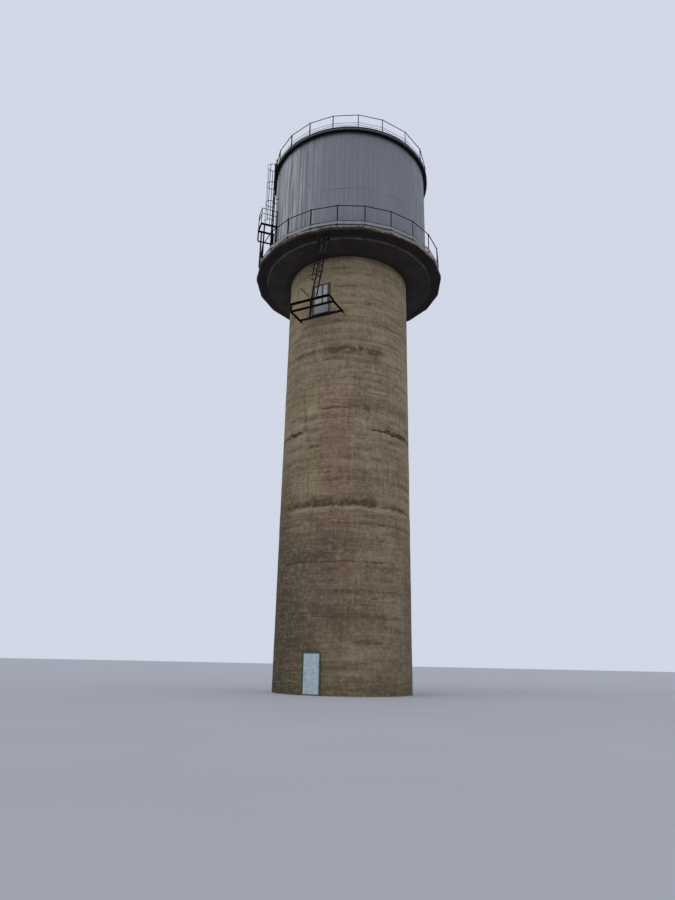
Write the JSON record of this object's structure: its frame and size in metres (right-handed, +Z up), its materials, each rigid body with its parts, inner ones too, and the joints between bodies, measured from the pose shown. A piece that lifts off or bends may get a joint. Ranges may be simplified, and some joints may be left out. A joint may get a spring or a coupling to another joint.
{
  "type": "water tower",
  "caption": "Hollow round concrete water tower: shaft with entrance and balcony doors, gallery slab with railing, clad steel tank, flat roof with railing, caged ladders.",
  "frame": {"origin": "middle of the shaft's base, on the level that the tower stands on", "axes": "+Z up; both doors face -Y; +X is to the right when the doors are looked at from outside"},
  "size_m": [11.4422, 11.4422, 32.47],
  "materials": {
    "concrete": "weathered board-marked concrete with moss and stains",
    "slab_concrete": "dark weathered concrete",
    "cladding": "grey ribbed sheet, semi-gloss, streaked",
    "roof_metal": "dark sheet metal, satin",
    "steelwork": "black paint, matt, rusted",
    "door_paint": "pale grey paint, matt, worn",
    "frame_paint": "green paint, matt, worn"
  },
  "bodies": {
    "tower": {"shaft_wall_1": "concrete", "shaft_wall_2": "concrete", "shaft_wall_3": "concrete", "shaft_wall_4": "concrete", "shaft_wall_5": "concrete", "shaft_wall_6": "concrete", "shaft_wall_7": "concrete", "shaft_front_left_wall": "concrete", "shaft_front_right_wall": "concrete", "shaft_wall_between_doors": "concrete", "shaft_wall_over_balcony_door": "concrete", "shaft_wall_beside_entrance": "concrete", "ground_floor": "concrete", "upper_floor": "concrete", "gallery_slab_left": "slab_concrete", "gallery_slab_right": "slab_concrete", "gallery_slab_middle": "slab_concrete", "gallery_slab_hatch_edge": "slab_concrete", "gallery_railing_1": "steelwork", "gallery_railing_2": "steelwork", "gallery_railing_3": "steelwork", "gallery_railing_4": "steelwork", "gallery_railing_5": "steelwork", "tank_wall_1": "cladding", "tank_wall_2": "cladding", "tank_wall_3": "cladding", "tank_wall_4": "cladding", "tank_wall_5": "cladding", "tank_wall_6": "cladding", "tank_wall_7": "cladding", "tank_wall_8": "cladding", "roof_deck": "roof_metal", "roof_fascia": "roof_metal", "eaves_soffit": "roof_metal", "roof_railing_1": "steelwork", "roof_railing_2": "steelwork", "roof_railing_3": "steelwork", "roof_railing_4": "steelwork", "tank_ladder": "steelwork", "tank_ladder_cage": "steelwork", "landing_frame": "steelwork", "landing_railing": "steelwork", "balcony_frame": "steelwork", "balcony_guard": "steelwork", "balcony_ladder": "steelwork", "balcony_ladder_cage": "steelwork", "entrance_frame": "frame_paint", "balcony_door_frame": "frame_paint", "balcony_door_left": "door_paint", "balcony_door_right": "door_paint"},
    "entrance_leaf": {"entrance_door": "door_paint"}
  },
  "joints": [
    {"name": "entrance_hinge", "type": "hinge", "parent": "tower", "child": "entrance_leaf", "pos_m": [0.5247, -3.574, 0.9], "axis": [0, 0, 1], "range_deg": [0, 100]}
  ]
}
